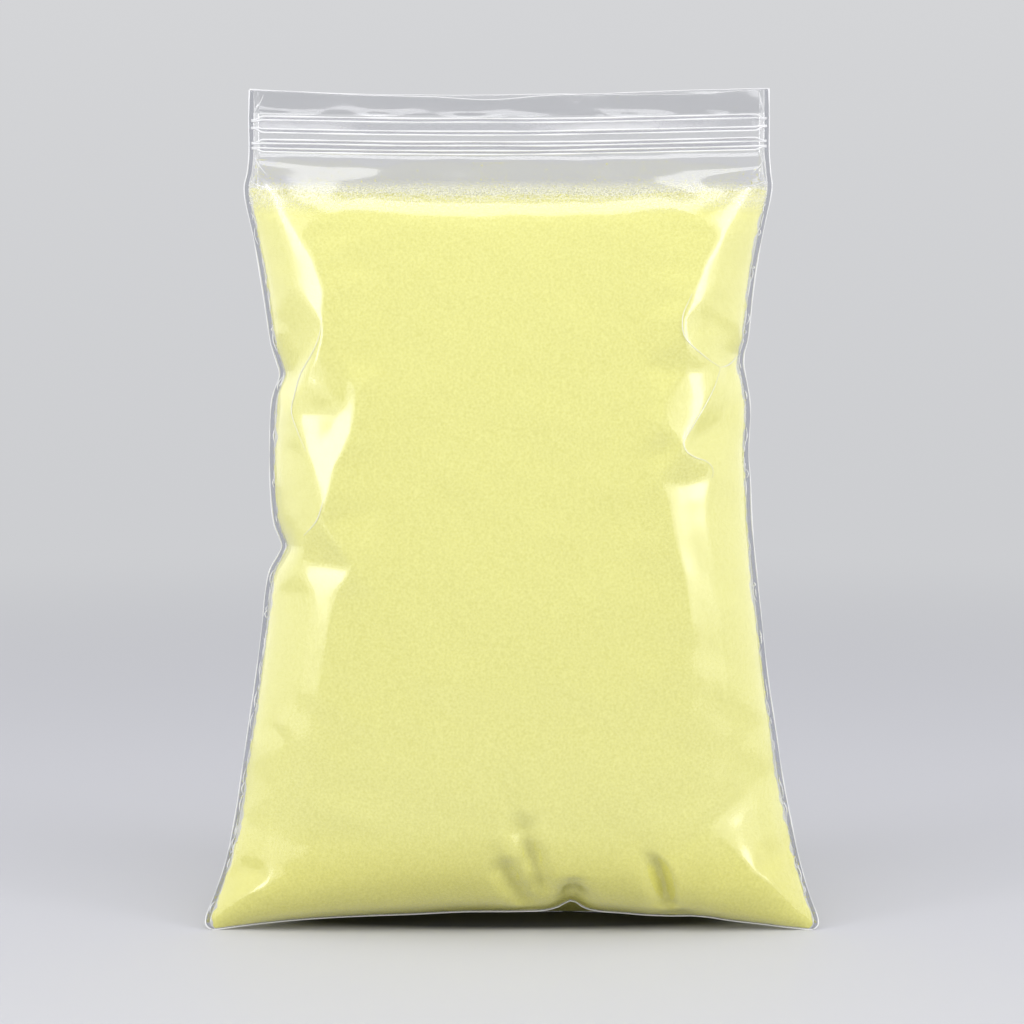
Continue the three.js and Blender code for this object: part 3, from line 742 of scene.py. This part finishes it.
def zipStrip(name, track, side):
    towards = -1 if side == "front" else 1
    t, x = trackSteps(track, bagShape["sealWidth"] + zipShape["endGap"])
    crush = 1 - zipShape["endCrush"] * smoothStep(0.955, 1, np.abs(t))
    z = trackHeight(track, t) + zipShape["stripWaver"] * ripples(x, x * 0, 31 if side == "front" else 32, 50)
    rail, web, spread = zipShape["railRadius"], zipShape["webThickness"] / 2, track["spread"]
    top = [[rail * math.cos(a), spread + rail * math.sin(a)] for a in np.linspace(-0.9, math.pi + 0.9, 11)]
    end = spread - 0.6
    outline = [[web, -end], [web, end]] + top + [[-web, end], [-web, -end]]
    outline = np.array(outline + [[-a, -b] for a, b in top])
    depth = zipShape["filmDepth"] - bagShape["filmThickness"] - rail - 0.12
    depth = towards * depth * np.minimum(1, crush + 0.1)
    rings = np.zeros((len(x), len(outline), 3))
    rings[..., 0] = x[:, None]
    rings[..., 1] = planeAt(z)[:, None] + depth[:, None] + outline[None, :, 0] * crush[:, None]
    rings[..., 2] = z[:, None] + outline[None, :, 1] * (0.5 + 0.5 * crush)[:, None]
    points, faces = closedRings(rings)
    piece = meshPiece(name, points, faces, films["zipRail"])
    piece.data.materials.append(films["zipWeb" if track["milky"] else "zipRail"])
    flat = [k % len(outline) in (0, len(outline) // 2) for k in range(len(faces) - 2)] + [False, False]
    piece.data.polygons.foreach_set("material_index", np.array(flat).astype(np.int32))
    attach(piece, "root")
    return piece


def railHighlights(name, track):
    # painted highlights along the edges of the rails: white lines, a pair on each rail, which run together at
    # both ends
    t, x = trackSteps(track, bagShape["sealWidth"] * 0.6)
    together = smoothStep(0.985, 0.955, np.abs(t))
    long, short = zipShape["lineWavers"]
    points, faces = [], []
    for rail in (-1, 1):
        for edge in (-1, 1):
            seed = 60 + rail * 3 + edge
            z = trackHeight(track, t) + rail * track["spread"] * (0.6 + 0.4 * together)
            z = z + edge * zipShape["railRadius"] * (0.35 + 0.65 * together)
            z = z + long * ripples(x, x * 0, 50 + rail, 60) + short * ripples(x, x * 0, seed, 30)
            out = zipShape["filmDepth"] * np.clip((1 - np.abs(t)) / 0.03, 0.1, 1)
            y = planeAt(z) - out - zipShape["lineLift"]
            uneven = (1 + 0.2 * ripples(x, x * 0, seed + 10, 25)).clip(0.6, 1.4)
            addTube(points, faces, np.stack([x, y, z], 1), zipShape["lineRadius"] * uneven, 6)
    piece = meshPiece(name, points, faces, films["cutEdgeAndHighlights"])
    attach(piece, "root")


for track in zipShape["tracks"]:
    railHighlights(track + "ZipRailHighlights", zipShape["tracks"][track])
    for side, node in (("front", "rib"), ("back", "channel")):
        strip = zipStrip(track + "Zip" + side.capitalize(), zipShape["tracks"][track], side)
        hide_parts(track + "_zip_" + node)
    print(track, "zip track: two strips and their bright lines")


# beads where the sheets are welded and cut, down both sides and across the bottom

weldShape = {
    "sideBead": 0.16, "bottomBead": 0.14, "lipBead": 0.12,  # radii
    "wisps": 130, "wispLength": (0.8, 6), "wispRadius": (0.07, 0.2), "wispPoints": 9,
    "creasePoints": 40,
    # where the film is pinched beside the zip, as [across, height]
    "creaseRadius": 0.11,
    "creases": [
        [[-72.4, 235.6], [-72.2, 228], [-72.5, 219], [-73.4, 211], [-74.6, 208.6]],
        [[70.6, 235.8], [70.4, 228], [70.6, 219], [71.6, 211], [72.4, 209]],
        [[-69.6, 234.4], [-70.6, 232], [-72.2, 229.4]],
        [[69, 235], [69.6, 232], [70.6, 229]],
        [[-72, 217.4], [-70.6, 214.4], [-68, 211.6]],
        [[70.8, 217.2], [69.4, 214.6], [66.6, 212]],
        [[-73.6, 210], [-70, 208.6], [-66, 208.2]],
        [[72.2, 210.4], [68, 209], [64, 208.6]],
    ],
    # white lines along the sharpest of the folds, partly film turned white at the crease and partly a painted
    # highlight of the ridge, as [across, height]
    "foldHighlightRadius": 0.12,
    "foldHighlights": [
        [[-52.3, 172.5], [-52.9, 167.2], [-54.8, 161.5], [-57.6, 155.6], [-59.8, 151.2], [-61.4, 146.2],
         [-59.7, 140.3], [-57.4, 135]],
        [[-51.8, 122.4], [-52.4, 119.2], [-53.4, 115.8], [-56.4, 111.4]],
        [[49.6, 178.9], [47, 172.6], [47.3, 167.4], [50, 163.7], [53.6, 160.5], [57.4, 158.2]],
        [[57.4, 158.2], [56.3, 153.5], [53.8, 147.9], [50.1, 142.3], [47.1, 137.6], [47.9, 135.2],
         [50.7, 133.3], [53.5, 132.3], [55.5, 130.2], [55.6, 127.6]],
        [[57.4, 158.2], [60, 158.8], [63.4, 161.4]],
    ],
}


def edgePiece(name, points, faces):
    # beads, creases and wisps all have the finish of a cut edge, and the painted highlight lines along the
    # folds share it
    piece = meshPiece(name, points, faces, films["cutEdgeAndHighlights"])
    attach(piece, "root")


for name, q in (("leftWeldBead", -2), ("rightWeldBead", 2)):
    path = panelSurface("front", edgeRows, np.array([[q]]))[:, 0]
    path[:, 1] = planeAt(edgeRows[:, 0])
    path[:, 2] = np.maximum(path[:, 2], weldShape["sideBead"] + 0.02)
    uneven = (1 + 0.35 * ripples(path[:, 2], path[:, 0] * 0, 5, 14)).clip(0.4, 1.7)
    edgePiece(name, *tubeAlong(path, weldShape["sideBead"] * uneven))
bottom = panelSurface("front", np.array([[0.0]]), filmColumns[None, 1:-1])[0]
bottom[:, 2] = np.maximum(bottom[:, 2], weldShape["bottomBead"] + 0.02)
edgePiece("bottomWeldBead", *tubeAlong(bottom, weldShape["bottomBead"]))
for side in ("front", "back"):
    lip = panelSurface(side, np.array([[bagShape["lipTop"]]]), filmColumns[None, :])[0]
    edgePiece(side + "LipEdge", *tubeAlong(lip, weldShape["lipBead"]))


def creasesAndFoldHighlights():
    # fine white lines along the creases beside the zip, and along the sharpest folds, where they are partly
    # painted highlights, thinning out at both ends
    points, faces = [], []
    lines = [(line, weldShape["creaseRadius"]) for line in weldShape["creases"]]
    lines += [(line, weldShape["foldHighlightRadius"]) for line in weldShape["foldHighlights"]]
    count = weldShape["creasePoints"]
    taper = np.sin(np.linspace(0.25, math.pi - 0.25, count))
    for line, radius in lines:
        line = curveThrough(line, count)
        edge = line[:, 1] + zipShape["sag"] * 0.5
        left, right = leftAt(edge) - bagShape["sealWidth"], rightAt(edge) - bagShape["sealWidth"]
        q = (line[:, 0] - (right - left) / 2) / ((right + left) / 2)
        path = panelSurface("front", edge[:, None], q[:, None], 0)[:, 0]
        path[:, 1] -= 0.05
        addTube(points, faces, path, radius * taper, 5)
    edgePiece("zipCreasesAndFoldHighlights", points, faces)


def weldWisps():
    # short curls of torn film and pressed powder along the inside of the side welds
    draw = np.random.default_rng(77)
    points, faces = [], []
    count = weldShape["wispPoints"]
    for _ in range(weldShape["wisps"]):
        side, start = draw.choice([-1, 1]), draw.uniform(4, 205)
        length = draw.uniform(*weldShape["wispLength"])
        edge = np.linspace(start, start + length, count)
        bow = draw.uniform(-0.5, 0.7) * np.sin(np.linspace(0, math.pi, count))
        inset = bagShape["sealWidth"] * (1 + bow + draw.uniform(-0.35, 0.1))
        out = (leftAt(edge) if side < 0 else rightAt(edge)) - inset
        path = np.stack([side * out, planeAt(edge) - 0.25, edge], 1)
        taper = np.sin(np.linspace(0.3, math.pi - 0.3, count))
        addTube(points, faces, path, draw.uniform(*weldShape["wispRadius"]) * taper, 5)
    edgePiece("weldWisps", points, faces)


creasesAndFoldHighlights()
weldWisps()
print("weld beads, lip edges, creases and wisps made")


# dust and stray grains that cling to the film above the fill and along the side welds

grainShape = {
    "aboveFill": 7000, "sides": 2600, "foot": 1500, "inLip": 60,  # how many of each
    "size": (0.05, 0.13), "biggerOnes": 0.03,
    "lowest": 207.4, "climb": 1.9, "climbLimit": 9,  # of those above the fill
    "behindFilm": 0.2,
}


def strayGrains():
    draw = np.random.default_rng(5)
    count = grainShape["aboveFill"]
    q = draw.uniform(-0.985, 0.985, count)
    patchy = (1 + 0.5 * ripples(q * 70, q * 0, 15, 20)).clip(0.3, 3)
    climb = np.minimum(draw.exponential(grainShape["climb"], count) * patchy, grainShape["climbLimit"])
    edge = grainShape["lowest"] + climb
    sides, foot, inLip = grainShape["sides"], grainShape["foot"], grainShape["inLip"]
    sideQ = draw.choice([-1, 1], sides) * (0.975 + 0.2 * draw.random(sides) ** 2)
    footQ = draw.choice([-1, 1], foot, p=[0.7, 0.3]) * draw.uniform(1, 1.75, foot)
    lipQ = draw.uniform(-0.95, 0.95, inLip)
    q = np.r_[q, sideQ, footQ, lipQ]
    edge = np.r_[edge, draw.uniform(3, 207, sides), 2 + 45 * draw.random(foot) ** 1.4,
                 draw.uniform(209, 235, inLip)]
    centre = panelSurface("front", edge[:, None], q[:, None], 0)[:, 0]
    centre[:, 1] += grainShape["behindFilm"]
    size = draw.uniform(*grainShape["size"], len(q))
    bigger = draw.random(len(q)) > 1 - grainShape["biggerOnes"]
    size = size * (1 + 1.2 * bigger)
    corners = np.array([[1, 0, 0], [-1, 0, 0], [0, 1, 0], [0, -1, 0], [0, 0, 1], [0, 0, -1]], float)
    reach = size[:, None] * draw.uniform(0.6, 1.3, (len(q), 6))
    points = centre[:, None] + corners[None] * reach[..., None]
    grain = [[0, 2, 4], [2, 1, 4], [1, 3, 4], [3, 0, 4], [2, 0, 5], [1, 2, 5], [3, 1, 5], [0, 3, 5]]
    faces = [[6 * k + c for c in face] for k in range(len(q)) for face in grain]
    piece = meshPiece("strayGrains", points.reshape(-1, 3), faces, groundSulfur, smooth=False)
    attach(piece, "root")


strayGrains()
print("stray grains made")


# stage, lights and camera

studio = {
    "floorRadius": 1.5, "bendRadius": 1.2, "wallHeight": 3.2,
    "floorColour": (0.622, 0.622, 0.66), "paperRoughness": 0.5, "paperSpecular": 0.03,
    "wallLow": (0.61, 0.617, 0.637), "wallHigh": (0.665, 0.67, 0.685), "wallTurn": 0.6,
    "glowFrom": (0.25, 1.3),  # how far out the paper starts to glow of itself, and glows fully
    "skyColour": (0.95, 0.97, 1), "skyStrength": 0.5,
    # painted shadow: the floor paper is painted dark in a soft oval under the bag
    "gap": {"place": (0, -0.46, 0), "scale": (12, 50, 1), "edge": (0.7, 1.05), "colour": (0.13, 0.13, 0.14)},
    # azimuth from the front, distance, height of the centre, width, height, watts
    "boxes": {
        "leftCore": (-54, 1.1, 0.57, 0.24, 0.82, 2.35), "rightCore": (54, 1.1, 0.57, 0.24, 0.82, 2.35),
        "leftSoft": (-54, 1.15, 0.48, 0.6, 0.96, 1.75), "rightSoft": (54, 1.15, 0.48, 0.6, 0.96, 1.75),
        "leftFill": (-98, 1.25, 0.52, 1.45, 1.0, 3.15), "rightFill": (98, 1.25, 0.52, 1.45, 1.0, 3.15),
        "frontTop": (0, 0.72, 1.15, 1.3, 0.62, 6.3),
    },
    "topAim": 0.12,  # the height that frontTop points at; the others are level
}


def sweepStage():
    turn = np.linspace(0, math.pi / 2, 24)
    floorEnd, bend = studio["floorRadius"], studio["bendRadius"]
    across = np.r_[np.linspace(0.1, floorEnd, 10), floorEnd + bend * np.sin(turn[1:]), floorEnd + bend]
    height = np.r_[np.zeros(10), bend * (1 - np.cos(turn[1:])), studio["wallHeight"]]
    sides = 96
    angle = np.arange(sides) * 2 * math.pi / sides
    points = [[0, 0, 0]]
    for r, h in zip(across, height):
        points += [[r * math.cos(a), r * math.sin(a), h] for a in angle]
    faces = [[0, 1 + k, 1 + (k + 1) % sides] for k in range(sides)]
    for ring in range(len(across) - 1):
        for k in range(sides):
            a, b = 1 + ring * sides + k, 1 + ring * sides + (k + 1) % sides
            faces.append([a, a + sides, b + sides, b])
    meshPiece("sweep", np.array(points) / mm, faces, sweepPaper())


def twoColours(nodes, links, share, one, other):
    blend = nodes.new("ShaderNodeMix")
    blend.data_type = "RGBA"
    blend.inputs["A"].default_value = (*one, 1)
    blend.inputs["B"].default_value = (*other, 1)
    links.new(share, blend.inputs["Factor"])
    return blend.outputs["Result"]


def distance(nodes, links, vector):
    away = nodes.new("ShaderNodeVectorMath")
    away.operation = "LENGTH"
    links.new(vector, away.inputs[0])
    return away.outputs["Value"]


def sweepPaper():
    # matt paper by the bag, turning into an even glow further out
    material, nodes, links, output = newMaterial("paleSweep")
    paper, glow = nodes.new("ShaderNodeBsdfPrincipled"), nodes.new("ShaderNodeEmission")
    paper.inputs["Roughness"].default_value = studio["paperRoughness"]
    paper.inputs["Specular IOR Level"].default_value = studio["paperSpecular"]
    where, split, under = (nodes.new("ShaderNode" + kind) for kind in ("TexCoord", "SeparateXYZ", "Mapping"))
    links.new(where.outputs["Object"], split.inputs[0])
    links.new(where.outputs["Object"], under.inputs["Vector"])
    under.inputs["Location"].default_value = studio["gap"]["place"]
    under.inputs["Scale"].default_value = studio["gap"]["scale"]
    # painted shadow: the paper colour is dark inside the oval under the bag and fades to the floor colour at
    # its edge
    clear = ranged(nodes, links, distance(nodes, links, under.outputs["Vector"]), studio["gap"]["edge"])
    floor = twoColours(nodes, links, clear, studio["gap"]["colour"], studio["floorColour"])
    links.new(floor, paper.inputs["Base Color"])
    rise = ranged(nodes, links, split.outputs["Z"], (0, studio["wallTurn"]), kind="LINEAR")
    links.new(twoColours(nodes, links, rise, studio["wallLow"], studio["wallHigh"]), glow.inputs["Color"])
    far = ranged(nodes, links, distance(nodes, links, where.outputs["Object"]), studio["glowFrom"])
    links.new(mixed(nodes, links, far, paper, glow).outputs[0], output.inputs["Surface"])
    return material


sweepStage()
for name, (turn, far, high, wide, tall, watts) in studio["boxes"].items():
    light = bpy.data.lights.new(name, "AREA")
    light.shape = "RECTANGLE"
    light.size, light.size_y, light.energy = wide, tall, watts
    lamp = bpy.data.objects.new(name, light)
    turn = math.radians(turn)
    lamp.location = (far * math.sin(turn), -far * math.cos(turn), high)
    target = Vector((0, 0, studio["topAim"] if name == "frontTop" else high))
    lamp.rotation_euler = (target - lamp.location).to_track_quat("-Z", "Y").to_euler()
    lamp.visible_camera = False
    scene.collection.objects.link(lamp)

world = bpy.data.worlds.new("softWorld")
scene.world = world
world.use_nodes = True
sky = world.node_tree.nodes["Background"]
sky.inputs["Color"].default_value = (*studio["skyColour"], 1)
sky.inputs["Strength"].default_value = studio["skyStrength"]

view = {"lens": 100, "sensor": 36, "frameWidth": 0.2885, "tilt": 4, "aim": (0, -0.003, 0.1177)}
lens = bpy.data.cameras.new("camera")
lens.lens, lens.sensor_width = view["lens"], view["sensor"]
camera = bpy.data.objects.new("camera", lens)
scene.collection.objects.link(camera)
tilt = math.radians(view["tilt"])
away = view["frameWidth"] * view["lens"] / view["sensor"]
camera.location = Vector(view["aim"]) + away * Vector((0, -math.cos(tilt), math.sin(tilt)))
camera.rotation_euler = (math.pi / 2 - tilt, 0, 0)
scene.camera = camera
scene.view_settings.view_transform = "Standard"
scene.cycles.transparent_max_bounces = 32
print("stage, lights and camera set")
